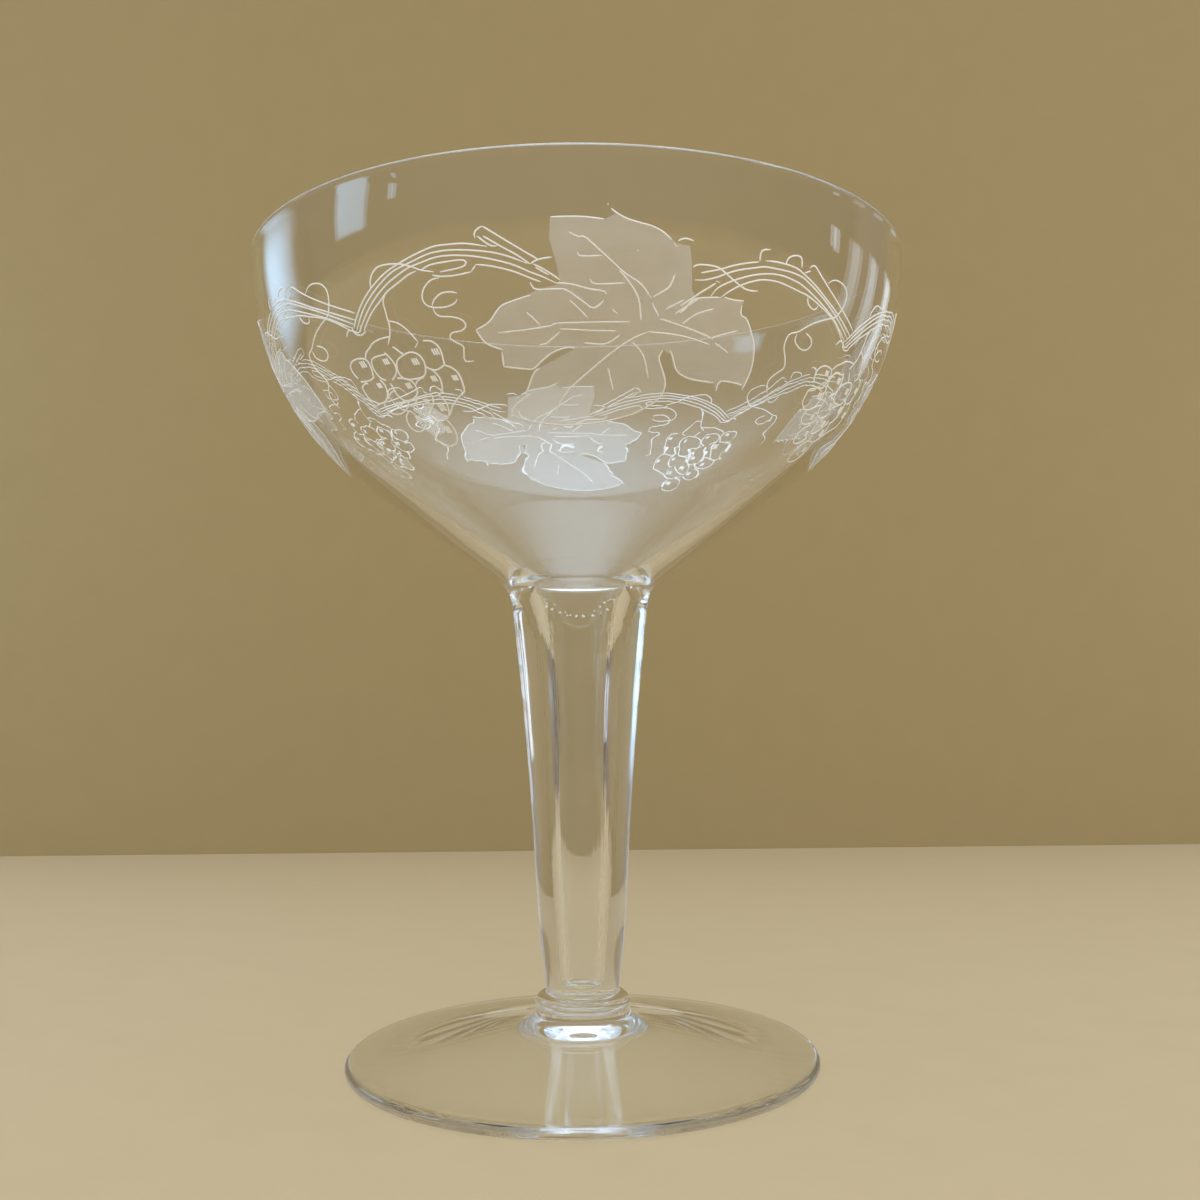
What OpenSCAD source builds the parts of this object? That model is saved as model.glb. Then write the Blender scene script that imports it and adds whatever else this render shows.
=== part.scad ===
/* [Overall] */
// Height from the table to the top of the rim
glass_h = 124; // [122:0.5:126]
// Outside diameter at the rim, the widest place of the glass
rim_d = 102; // [98:1:106]

/* [Bowl] */
// Thickness of the wall at the rim, whose edge is fully rounded
rim_wall = 1.45; // [1.2:0.05:1.8]
// Radius of the outside arc that runs down from the rim
bowl_arc_r = 42; // [40:0.5:44]
// How much smaller the radius of the inside arc is, so that the wall thickens downwards
arc_gap = 3.5; // [2.5:0.5:4.5]
// Slope of the outside of the lower bowl, in degrees above level
bowl_slope = 35.5; // [34:0.5:37]
// Slope of the inside of the lower bowl, in degrees above level
cavity_slope = 33; // [32:0.5:34]
// Radius of the outside hollow curve where the bowl turns into the stem
neck_fillet_r = 5.7; // [4:0.1:6.5]
// Slope of the neck's side below that curve, in degrees off upright, in line with the stem's
neck_taper = 6; // [3:0.5:8]
// Length of the neck below that curve, down to the weld with the stem
neck_l = 2.5; // [1.8:0.1:3.2]
// Diameter that the bore has flared to where it rounds into the bowl's inside
mouth_d = 14.4; // [13.4:0.1:15]
// Slope of the flared side there, in degrees off upright
mouth_flare = 20; // [14:1:24]
// Radius of the rounded edge between the flare and the bowl's inside
mouth_round_r = 2.4; // [1.6:0.1:3]

/* [Stem] */
// Outside diameters of the stem, from its foot end to its weld with the bowl
stem_ds = [11.2, 13.5, 15.5, 18, 20.9];
// Where those diameters are, as shares of the stem's length from its foot end
stem_shares = [0, 0.18, 0.47, 0.75, 1];
// Diameters of the bore, from its closed end to the weld with the bowl
bore_ds = [4.5, 5.3, 6.9, 7.8, 9, 10.8];
// Where those diameters are, as shares of the bore's length from its closed end
bore_shares = [0, 0.13, 0.4, 0.74, 0.92, 1];
// Thickness of the solid glass under the bore
bore_floor = 0.9; // [0.7:0.1:1.5]
// Radius of the rounded corner at the closed end of the bore
bore_end_r = 1.6; // [1:0.1:2]

/* [Knop] */
// Height of the weld between the stem and the knop
knop_top_z = 10.6; // [10.2:0.1:11]
// Height of the weld between the knop and the foot
knop_base_z = 8.8; // [8.5:0.1:9]
// Widest diameter of the knop
knop_d = 14.7; // [14:0.1:16]
// Diameter of the knop at its weld with the foot
knop_base_d = 14.1; // [13.4:0.1:14.1]
// Where the knop is widest, as a share of its height from its base
knop_belly_share = 0.2; // [0.15:0.01:0.3]

/* [Foot] */
// Outside diameter of the foot
foot_d = 72.6; // [68:0.5:76]
// Thickness of the foot at its rounded edge
foot_edge_t = 1.8; // [1.4:0.1:2.2]
// Diameter where the flare under the knop has run out into the flat of the foot
flare_d = 20.6; // [19.6:0.1:21.6]
// Height of the upper side of the foot at that diameter
flare_z = 5.6; // [5.4:0.1:5.8]
// Slope of the upper side of the foot at that diameter, in degrees
flare_slope = 12; // [9:0.5:14]
// How far the flare falls before it turns outwards, as a share of its height
flare_fall_share = 0.5; // [0.4:0.05:0.6]
// How early the flare follows the foot's slope, as a share of its width
flare_run_share = 0.35; // [0.25:0.05:0.5]
// Width of the flat ring, just inside the rounded edge, that rests on the table
rest_w = 2.4; // [1.8:0.1:3.4]
// Height of the hollow at the middle of the underside, which follows the foot's upper side
kick_h = 5.2; // [4.9:0.05:5.3]

/* [Hidden] */

clear_glass = [0.82, 0.86, 0.86, 0.45];
rim_r = rim_d / 2;
knop_r = knop_d / 2;
knop_base_r = knop_base_d / 2;
knop_h = knop_top_z - knop_base_z;
foot_r = foot_d / 2;
foot_flat_r = foot_r - foot_edge_t / 2;
rest_r = foot_flat_r - rest_w;
neck_r = stem_ds[len(stem_ds) - 1] / 2;
bore_weld_r = bore_ds[len(bore_ds) - 1] / 2;
stem_foot_r = stem_ds[0] / 2;
cavity_arc_r = bowl_arc_r - arc_gap;
// The arcs' centres stand level with the start of the rim's own rounding
arc_centre_z = glass_h - rim_wall / 2;
arc_steps = 14;
bend_steps = 8;
curve_steps = 6;
quarter = 90;
half_turn = 180;
round_fn = 180;
// A point on the way up the flare, as shares of its width and of its height
flare_mid_shares = [0.36, 0.46];
// Radius at which the neck's hollow curve would stand upright, if it ran on that far
neck_bend_r = neck_r + neck_l * tan(neck_taper) - neck_fillet_r * (1 - cos(neck_taper));
// The bowl hangs from the rim, and the stem takes up the height that is left above the knop
weld_z = bend_z(rim_r, bowl_arc_r, bowl_slope, neck_bend_r, neck_fillet_r)
    + neck_fillet_r * sin(neck_taper) - neck_l;
stem_l = weld_z - knop_top_z;
bore_end_z = knop_top_z + bore_floor;
bore_l = weld_z - bore_end_z;

// Points on an arc round [x, z], from one angle to another
function arc(x, z, r, from, to, steps) =
    [for (i = [0:steps])
        let (a = from + (to - from) * i / steps)
        [x + r * cos(a), z + r * sin(a)]];

// A point on the smooth curve through four stations, between the second and the third
function between(p, q, r, s, t) =
    (2 * q + (r - p) * t + (2 * p - 5 * q + 4 * r - s) * t * t
        + (3 * q - p - 3 * r + s) * t * t * t) / 2;

// The smooth curve through a list of stations, with each end station counted twice
function through(stations) =
    let (last = len(stations) - 1)
    concat(
        [for (k = [0:last - 1], i = [0:curve_steps - 1])
            between(stations[max(k - 1, 0)], stations[k], stations[k + 1],
                stations[min(k + 2, last)], i / curve_steps)],
        [stations[last]]);

// Stations of a tapered tube from its foot end up: radius and height
function stations(diameters, shares, z0, length) =
    [for (i = [0:len(diameters) - 1]) [diameters[i] / 2, z0 + shares[i] * length]];

function reversed(points) = [for (i = [len(points) - 1:-1:0]) points[i]];

// Height at which one side of the bowl would stand upright, where its bend into the slope starts
function bend_z(side_r, arc_r, slope, low_r, fillet_r) =
    let (
        arc_end = slope - quarter,
        slope_top_x = side_r - arc_r + arc_r * cos(arc_end),
        slope_top_z = arc_centre_z + arc_r * sin(arc_end),
        corner_z = slope_top_z - (slope_top_x - low_r) * tan(slope)
    )
    corner_z - fillet_r * tan((quarter - slope) / 2);

// Half section of one side of the bowl, from its lower end up to the rim: a round that starts
// off upright by the taper, a straight slope and an arc that ends upright at the rim
function bowl_side(side_r, arc_r, slope, low_r, fillet_r, taper) =
    concat(
        arc(low_r + fillet_r, bend_z(side_r, arc_r, slope, low_r, fillet_r), fillet_r,
            half_turn - taper, quarter + slope, bend_steps),
        arc(side_r - arc_r, arc_centre_z, arc_r, slope - quarter, 0, arc_steps));

// The blown bowl: a wide saucer whose floor runs down into the top of the hollow stem
module bowl() {
    outside = bowl_side(rim_r, bowl_arc_r, bowl_slope, neck_bend_r, neck_fillet_r, neck_taper);
    inside = bowl_side(rim_r - rim_wall, cavity_arc_r, cavity_slope, mouth_d / 2, mouth_round_r,
        mouth_flare);
    flare_mid = [bore_weld_r + (inside[0][0] - bore_weld_r) * flare_mid_shares[0],
        weld_z + (inside[0][1] - weld_z) * flare_mid_shares[1]];
    rim_round = arc(rim_r - rim_wall / 2, arc_centre_z, rim_wall / 2, 0, half_turn, bend_steps);
    color(clear_glass)
        rotate_extrude($fn = round_fn)
            polygon(concat([[bore_weld_r, weld_z], [neck_r, weld_z]], outside, rim_round,
                reversed(inside), [flare_mid]));
}

// The drawn stem: a tapered tube, open into the bowl and closed just above the knop
module stem() {
    outside = through(stations(stem_ds, stem_shares, knop_top_z, stem_l));
    bore_side = through(stations(bore_ds, bore_shares, bore_end_z + bore_end_r, bore_l - bore_end_r));
    bore_end = arc(bore_side[0][0] - bore_end_r, bore_end_z + bore_end_r, bore_end_r,
        -quarter, 0, bend_steps);
    color(clear_glass)
        rotate_extrude($fn = round_fn)
            polygon(concat([[0, knop_top_z]], outside, reversed(bore_side), reversed(bore_end),
                [[0, bore_end_z]]));
}

// The knop: a solid ring of glass between the stem and the foot, rounder above than below
module knop() {
    belly_z = knop_base_z + knop_belly_share * knop_h;
    shoulder_h = knop_top_z - belly_z;
    shoulder = [for (i = [0:bend_steps])
        let (a = quarter * i / bend_steps)
        [stem_foot_r + (knop_r - stem_foot_r) * cos(a), belly_z + shoulder_h * sin(a)]];
    skirt = [for (i = [0:bend_steps - 1])
        let (t = i / bend_steps)
        [knop_base_r + (knop_r - knop_base_r) * sin(quarter * t),
            knop_base_z + (belly_z - knop_base_z) * t]];
    color(clear_glass)
        rotate_extrude($fn = round_fn)
            polygon(concat([[0, knop_base_z]], skirt, shoulder, [[0, knop_top_z]]));
}

// The spun foot: a thin disc that flares up to the knop, with a flat ring underneath
module foot() {
    edge_r = foot_edge_t / 2;
    flare_r = flare_d / 2;
    flare_drop = knop_base_z - flare_z;
    flare_run = flare_r - knop_base_r;
    // Handles of the hollow flare: straight down from the knop, then along the foot's slope
    upper_handle = [knop_base_r, knop_base_z - flare_drop * flare_fall_share];
    lower_run = flare_run * flare_run_share;
    lower_handle = [flare_r - lower_run, flare_z + lower_run * tan(flare_slope)];
    flare = [for (i = [0:arc_steps])
        let (t = i / arc_steps, u = 1 - t)
        u * u * u * [knop_base_r, knop_base_z] + 3 * u * u * t * upper_handle
            + 3 * u * t * t * lower_handle + t * t * t * [flare_r, flare_z]];
    // Upper side from the flare to the edge, level where it meets the edge's rounding
    span = foot_flat_r - flare_r;
    top = [for (i = [1:arc_steps - 1])
        let (t = i / arc_steps, rise = flare_z - foot_edge_t, fall = span * tan(flare_slope))
        [flare_r + span * t,
            foot_edge_t + rise * (1 - t) * (1 - t) * (1 + 2 * t) - fall * t * (1 - t) * (1 - t)]];
    edge = arc(foot_flat_r, edge_r, edge_r, quarter, -quarter, bend_steps);
    hollow = [for (i = [0:arc_steps])
        let (share = 1 - i / arc_steps)
        [rest_r * share, kick_h * (1 - share * share) * (1 - share * share)]];
    color(clear_glass)
        rotate_extrude($fn = round_fn)
            polygon(concat(flare, top, edge, hollow, [[0, knop_base_z]]));
}

bowl();
stem();
knop();
foot();
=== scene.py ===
# %% [markdown]
# A coupe glass with a hollow stem, and a vine engraved round its bowl.
#
# The real glass is hot-worked from four gathers of clear glass: a blown bowl, a drawn hollow
# stem, a small solid knop and a spun foot. They are fused face to face, so the finished glass
# has no screws and no glue lines. This lesson rebuilds each gather as its own closed shell of
# glass, then cuts the vine into the bowl, and at last sets the glass on a pale table.
#
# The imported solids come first. They give the places of the welds, the rim and the foot, and
# every piece made here stays inside them.

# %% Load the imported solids
import math

import bpy
import bmesh
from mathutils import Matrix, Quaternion, Vector


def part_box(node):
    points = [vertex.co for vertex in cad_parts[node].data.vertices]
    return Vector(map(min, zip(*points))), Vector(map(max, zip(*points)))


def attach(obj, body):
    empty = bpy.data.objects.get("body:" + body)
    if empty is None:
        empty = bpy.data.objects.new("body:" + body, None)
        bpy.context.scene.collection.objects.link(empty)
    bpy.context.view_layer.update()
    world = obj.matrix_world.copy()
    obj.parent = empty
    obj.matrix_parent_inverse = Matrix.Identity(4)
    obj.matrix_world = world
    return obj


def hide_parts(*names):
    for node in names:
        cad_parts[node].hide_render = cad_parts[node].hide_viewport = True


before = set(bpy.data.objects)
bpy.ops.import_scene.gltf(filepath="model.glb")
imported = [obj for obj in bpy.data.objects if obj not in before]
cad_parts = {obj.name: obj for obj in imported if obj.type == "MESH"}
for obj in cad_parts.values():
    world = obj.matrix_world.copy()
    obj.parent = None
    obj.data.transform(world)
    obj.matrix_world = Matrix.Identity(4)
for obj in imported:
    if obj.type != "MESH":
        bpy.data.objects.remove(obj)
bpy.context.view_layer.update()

# %% [markdown]
# Sizes. The heights of the welds and the widest radii come from the solids themselves. What a
# box can't tell, such as the wall and the curves of the section, is given here in millimetres,
# as a glassblower would note it beside a sketch of half the glass.

# %% Heights and radii of the glass
MM = 0.001
bowl_low, bowl_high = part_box("bowl")
stem_low, stem_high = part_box("stem")
knop_low, knop_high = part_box("knop")
foot_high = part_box("foot")[1]

RIM_Z = bowl_high.z / MM
WELD_Z = bowl_low.z / MM
KNOP_TOP_Z = stem_low.z / MM
KNOP_BASE_Z = knop_low.z / MM
RIM_R = bowl_high.x / MM
NECK_R = stem_high.x / MM
KNOP_R = knop_high.x / MM
FOOT_R = foot_high.x / MM
print("rim radius", RIM_R, "rim height", RIM_Z, "weld height", WELD_Z, "foot radius", FOOT_R)

# %% Walls, curves and bores that the boxes don't give
RIM_WALL = 1.45
BOWL_ARC_R = 42
CAVITY_ARC_R = 38.5
BOWL_SLOPE = 35.5
CAVITY_SLOPE = 33
NECK_FILLET_R = 5.7
NECK_TAPER = 6
NECK_L = 2.5
MOUTH_R = 7.2
MOUTH_FLARE = 20
MOUTH_ROUND_R = 2.4
FLARE_MID_SHARES = (0.36, 0.46)
STEM_DS = (11.2, 13.5, 15.5, 18, 20.9)
STEM_SHARES = (0, 0.18, 0.47, 0.75, 1)
BORE_DS = (4.5, 5.3, 6.9, 7.8, 9, 10.8)
BORE_SHARES = (0, 0.13, 0.4, 0.74, 0.92, 1)
BORE_FLOOR = 0.9
BORE_END_R = 1.6
KNOP_BASE_R = 7.05
KNOP_BELLY_SHARE = 0.2
FOOT_EDGE_T = 1.8
FLARE_R = 10.3
FLARE_Z = 5.6
FLARE_SLOPE = 12
FLARE_FALL_SHARE = 0.5
FLARE_RUN_SHARE = 0.35
REST_W = 2.4
KICK_H = 5.2

ARC_CENTRE_Z = RIM_Z - RIM_WALL / 2
BORE_WELD_R = BORE_DS[-1] / 2
STEM_FOOT_R = STEM_DS[0] / 2
NECK_LEAN = math.radians(NECK_TAPER)
NECK_BEND_R = NECK_R + NECK_L * math.tan(NECK_LEAN) - NECK_FILLET_R * (1 - math.cos(NECK_LEAN))
BORE_END_Z = KNOP_TOP_Z + BORE_FLOOR
print("the bore is", round(WELD_Z - BORE_END_Z, 1), "mm long up to the weld with the bowl")

# %% [markdown]
# Half sections. Everything on this glass but the engraving is round, so each piece is known by
# half of its section: a line of points given as radius and height, which runs anticlockwise so
# that the faces will look outwards. Round stretches are arcs, and the drawn stem, whose taper
# has no single radius, is a smooth curve through a few measured stations.

# %% Arcs and smooth curves for the sections
QUARTER = 90
HALF_TURN = 180
BEND_STEPS = 12
ARC_STEPS = 28
CURVE_STEPS = 8
KNOP_STEPS = 40


def arc(centre, radius, start, end, steps):
    """Points on an arc of the half section, between two angles in degrees."""
    angles = [math.radians(start + (end - start) * i / steps) for i in range(steps + 1)]
    return [(centre[0] + radius * math.cos(a), centre[1] + radius * math.sin(a)) for a in angles]


def between(p, q, r, s, t):
    """One coordinate of the smooth curve from q to r, with its neighbours p and s."""
    cubic = 3 * q - p - 3 * r + s
    return (2 * q + (r - p) * t + (2 * p - 5 * q + 4 * r - s) * t * t + cubic * t ** 3) / 2


def smooth_through(stations):
    """The smooth curve through a list of points, with each end point counted twice."""
    padded = [stations[0], *stations, stations[-1]]
    points = [tuple(between(*four, i / CURVE_STEPS) for four in zip(p, q, r, s))
              for p, q, r, s in zip(padded, padded[1:], padded[2:], padded[3:])
              for i in range(CURVE_STEPS)]
    return [*points, tuple(stations[-1])]


def tube_side(diameters, shares, start_z, end_z):
    """The side of a tapered tube, from its foot end up."""
    return smooth_through([(d / 2, start_z + share * (end_z - start_z))
                           for d, share in zip(diameters, shares)])


# %% [markdown]
# The bowl. A blown saucer is thin at the rim and thick at the bottom, because the outside and
# the inside aren't the same curve: each one is an arc that ends upright at the rim, then a
# straight slope, then a round where it turns into the neck. The thick lower wall is what bends
# the light there, so both sides are modelled, and not one surface with a pretended thickness.
# Below, the inside opens out of the bore like a trumpet.

# %% Section of the bowl
def bowl_side(side_r, arc_r, slope, low_r, fillet_r, taper):
    """One side of the bowl, from the neck up to the rim. low_r is the radius where the neck's
    bend would stand upright, and it starts off that by the taper."""
    arc_x = side_r - arc_r
    arc_end = math.radians(slope - QUARTER)
    slope_top = (arc_x + arc_r * math.cos(arc_end), ARC_CENTRE_Z + arc_r * math.sin(arc_end))
    corner_z = slope_top[1] - (slope_top[0] - low_r) * math.tan(math.radians(slope))
    tangent = fillet_r * math.tan(math.radians((QUARTER - slope) / 2))
    centre = (low_r + fillet_r, corner_z - tangent)
    bend = arc(centre, fillet_r, HALF_TURN - taper, QUARTER + slope, BEND_STEPS)
    return bend + arc((arc_x, ARC_CENTRE_Z), arc_r, slope - QUARTER, 0, ARC_STEPS)


def bowl_section():
    outside = bowl_side(RIM_R, BOWL_ARC_R, BOWL_SLOPE, NECK_BEND_R, NECK_FILLET_R, NECK_TAPER)
    inside = bowl_side(RIM_R - RIM_WALL, CAVITY_ARC_R, CAVITY_SLOPE, MOUTH_R, MOUTH_ROUND_R,
                       MOUTH_FLARE)
    flare_mid = tuple(low + share * (high - low) for low, high, share in
                      zip((BORE_WELD_R, WELD_Z), inside[0], FLARE_MID_SHARES))
    rim = arc((RIM_R - RIM_WALL / 2, ARC_CENTRE_Z), RIM_WALL / 2, 0, HALF_TURN, BEND_STEPS)
    weld = [(BORE_WELD_R, WELD_Z), (NECK_R, WELD_Z)]
    return [*weld, *outside, *rim[1:-1], *reversed(inside), flare_mid, weld[0]]


print("bowl section has", len(bowl_section()), "points")

# %% [markdown]
# The stem, the knop and the foot. The stem is drawn out of the hot gather, which leaves a bore
# that narrows downwards and ends in a round bottom just above the knop. The knop is solid, and
# the foot flares up to it in one hollow curve. Under the foot, a flat ring touches the table
# round a hollow that follows the upper side.

# %% Sections of the stem, the knop and the foot
def stem_section():
    outside = tube_side(STEM_DS, STEM_SHARES, KNOP_TOP_Z, WELD_Z)
    bore = tube_side(BORE_DS, BORE_SHARES, BORE_END_Z + BORE_END_R, WELD_Z)
    bottom = arc((bore[0][0] - BORE_END_R, BORE_END_Z + BORE_END_R), BORE_END_R, -QUARTER, 0,
                 BEND_STEPS)
    return [(0, KNOP_TOP_Z), *outside, *reversed(bore), *reversed(bottom[:-1]), (0, BORE_END_Z)]


def knop_section():
    height = KNOP_TOP_Z - KNOP_BASE_Z
    belly_z = KNOP_BASE_Z + KNOP_BELLY_SHARE * height
    turns = [math.radians(QUARTER * i / KNOP_STEPS) for i in range(KNOP_STEPS + 1)]
    skirt = [(KNOP_BASE_R + (KNOP_R - KNOP_BASE_R) * math.sin(a),
              KNOP_BASE_Z + (belly_z - KNOP_BASE_Z) * i / KNOP_STEPS)
             for i, a in enumerate(turns[:-1])]
    shoulder = [(STEM_FOOT_R + (KNOP_R - STEM_FOOT_R) * math.cos(a),
                 belly_z + (KNOP_TOP_Z - belly_z) * math.sin(a)) for a in turns]
    return [(0, KNOP_BASE_Z), *skirt, *shoulder, (0, KNOP_TOP_Z)]


def foot_section():
    edge_r = FOOT_EDGE_T / 2
    flat_r = FOOT_R - edge_r
    fall = math.tan(math.radians(FLARE_SLOPE))
    handle_run = (FLARE_R - KNOP_BASE_R) * FLARE_RUN_SHARE
    flare_ends = ((KNOP_BASE_R, KNOP_BASE_Z),
                  (KNOP_BASE_R, KNOP_BASE_Z - (KNOP_BASE_Z - FLARE_Z) * FLARE_FALL_SHARE),
                  (FLARE_R - handle_run, FLARE_Z + handle_run * fall),
                  (FLARE_R, FLARE_Z))
    shares = [i / ARC_STEPS for i in range(ARC_STEPS + 1)]
    flare = [tuple((1 - t) ** 3 * a + 3 * (1 - t) ** 2 * t * b + 3 * (1 - t) * t * t * c
                   + t ** 3 * d for a, b, c, d in zip(*flare_ends)) for t in shares]
    span = flat_r - FLARE_R
    top = [(FLARE_R + span * t, FOOT_EDGE_T + (FLARE_Z - FOOT_EDGE_T) * (1 - t) ** 2 * (1 + 2 * t)
            - span * fall * t * (1 - t) ** 2) for t in shares[1:-1]]
    edge = arc((flat_r, edge_r), edge_r, QUARTER, -QUARTER, BEND_STEPS)
    rest_r = flat_r - REST_W
    hollow = [(rest_r * (1 - t), KICK_H * (1 - (1 - t) ** 2) ** 2) for t in shares]
    return [*reversed(hollow), *reversed(edge), *reversed(top), *reversed(flare),
            (0, KNOP_BASE_Z)]


print("stem, knop and foot sections have",
      [len(section()) for section in (stem_section, knop_section, foot_section)], "points")

# %% [markdown]
# Two small helpers for nodes. A node tree is easier to read as a sum than as a web of boxes, so
# a wire from one socket answers to + - * / and comparisons, also with a number on its left.
# Every other node comes from one call that takes its type, its inputs and its settings, and the
# few nodes that come back in most trees have a short name of their own.

# %% Wires that add up
def operator(operation, flipped=False):
    """A method that adds one Math node. A flipped one has the other value on its left."""
    def apply(wire, other):
        return wire.graph.maths(operation, *((other, wire) if flipped else (wire, other)))
    return apply


class Wire:
    """One output socket. Python's operators on it add Math nodes to its tree."""

    __add__ = __radd__ = operator("ADD")
    __sub__ = operator("SUBTRACT")
    __rsub__ = operator("SUBTRACT", flipped=True)
    __mul__ = __rmul__ = operator("MULTIPLY")
    __truediv__ = operator("DIVIDE")
    __rtruediv__ = operator("DIVIDE", flipped=True)
    __pow__ = operator("POWER")
    __gt__ = operator("GREATER_THAN")

    def __init__(self, graph, socket):
        self.graph = graph
        self.socket = socket


# %% One call for every other node
class Graph:
    """A node tree under construction, for a shader or for geometry."""

    def __init__(self, tree):
        self.tree = tree

    def node(self, kind, values=None, **settings):
        """Adds a node, sets it up, feeds its inputs and returns its outputs by name or number."""
        made = self.tree.nodes.new(kind)
        for name, value in settings.items():
            setattr(made, name, value)
        for name, value in (values or {}).items():
            self.feed(made.inputs[name], value)
        return lambda name=0: Wire(self, made.outputs[name])

    def geo(self, kind, values=None, **settings):
        """A geometry node, by the part of its type that follows the word GeometryNode."""
        return self.node("GeometryNode" + kind, values, **settings)

    def shade(self, kind, values=None, **settings):
        return self.node("ShaderNode" + kind, values, **settings)

    def feed(self, socket, value):
        """Links a wire, or each wire of a list, to an input, or types a plain value into it."""
        if isinstance(value, (Wire, list)):
            for wire in value if isinstance(value, list) else [value]:
                self.tree.links.new(wire.socket, socket)
        else:
            socket.default_value = value

    def maths(self, operation, *values):
        return self.shade("Math", dict(enumerate(values)), operation=operation)()

    def spot(self, x, y, z):
        return self.shade("CombineXYZ", {"X": x, "Y": y, "Z": z})()

    def parts(self, vector):
        return self.shade("SeparateXYZ", {0: vector})

    def noise(self, place, scale, detail):
        return self.shade("TexNoise", {"Vector": place, "Scale": scale, "Detail": detail})(0)

    def mix(self, share, colour, other):
        """A colour between two others. Sockets 6 and 7 and output 2 are the ones for colours."""
        return self.shade("Mix", {0: share, 6: colour, 7: other}, data_type="RGBA")(2)

    def ease(self, value, low, high, start=0.0, end=1.0):
        """Runs smoothly from start to end while a value runs from low to high."""
        return self.shade("MapRange", {
            "Value": value, "From Min": low, "From Max": high, "To Min": start, "To Max": end},
            interpolation_type="SMOOTHSTEP")()

    def random(self, low, high, seed):
        """A random number for each element, between two limits."""
        return self.node("FunctionNodeRandomValue", {2: low, 3: high, "Seed": seed},
                         data_type="FLOAT")(1)


# %% [markdown]
# A geometry tree is a recipe with named inputs. The helper below opens one with its inputs, and
# another runs it on a mesh: it types the values into the modifier, reads the finished shape and
# keeps that as a plain mesh, so that nothing live is left on the piece.

# %% Open a geometry tree and run it
SOCKETS = {float: "NodeSocketFloat", int: "NodeSocketInt", "material": "NodeSocketMaterial"}


def open_tree(name, inputs):
    """A new geometry tree with a geometry input and the named ones, each of its own kind."""
    tree = bpy.data.node_groups.new(name, "GeometryNodeTree")
    tree.interface.new_socket("Geometry", in_out="INPUT", socket_type="NodeSocketGeometry")
    for label, kind in inputs.items():
        tree.interface.new_socket(label, in_out="INPUT", socket_type=SOCKETS[kind])
    tree.interface.new_socket("Geometry", in_out="OUTPUT", socket_type="NodeSocketGeometry")
    graph = Graph(tree)
    return graph, graph.node("NodeGroupInput")


def close_tree(graph, geometry, material):
    """Ends a tree: what it instanced is made real and gets its material."""
    real = graph.geo("RealizeInstances", {"Geometry": geometry})()
    dressed = graph.geo("SetMaterial", {"Geometry": real, "Material": material})()
    graph.node("NodeGroupOutput", {0: dressed})
    return graph.tree


def run_tree(tree, name, mesh, values):
    """The object that a geometry tree makes of a mesh, with the result as its plain mesh."""
    piece = bpy.data.objects.new(name, mesh)
    bpy.context.scene.collection.objects.link(piece)
    modifier = piece.modifiers.new(tree.name, "NODES")
    modifier.node_group = tree
    for item in tree.interface.items_tree:
        if item.in_out == "INPUT" and item.name in values:
            modifier[item.identifier] = values[item.name]
    shaped = piece.evaluated_get(bpy.context.evaluated_depsgraph_get())
    finished = bpy.data.meshes.new_from_object(shaped)
    piece.modifiers.clear()
    piece.data = finished
    finished.name = name
    for slot in reversed(range(len(finished.materials))):
        if finished.materials[slot] is None:
            finished.materials.pop(index=slot)
    print(name, "has", len(finished.polygons), "faces")
    return piece


def chain_mesh(name, chains):
    """A mesh of plain edges, one run of points after another."""
    points = [point for chain in chains for point in chain]
    edges = []
    first = 0
    for chain in chains:
        edges += [(first + i, first + i + 1) for i in range(len(chain) - 1)]
        first += len(chain)
    mesh = bpy.data.meshes.new(name)
    mesh.from_pydata(points, edges, [])
    return mesh


# %% [markdown]
# Turning. Blown and drawn glass is turned on the iron, so a section that goes once round makes
# the shape. The tree lays a grid with one row for each point of the section and bends it round
# the axis. A slow noise then lets the surface wander by a few hundredths of a millimetre, as
# hand-worked glass does. The lap mark is where the gather of the knop met its own end: a fine
# groove on a slanting plane, which runs out at the weld with the stem. Where two pieces are
# fused there is no surface at all, so the faces of a weld get a material that light passes
# straight through.

# %% The turning tree
TURN_STEPS = 256
WANDER = 0.0012
WANDER_SCALE = 55.0
WELD_REACH = 0.01 * MM
SHARP_EDGE = math.radians(40)
LEVEL_FACE = 0.99
SAME_PLACE = 1e-6
LAP_DEPTH = 0.03
LAP_Z = 10.1
LAP_FALL = 0.1
LAP_WIDTH = 0.22


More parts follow.
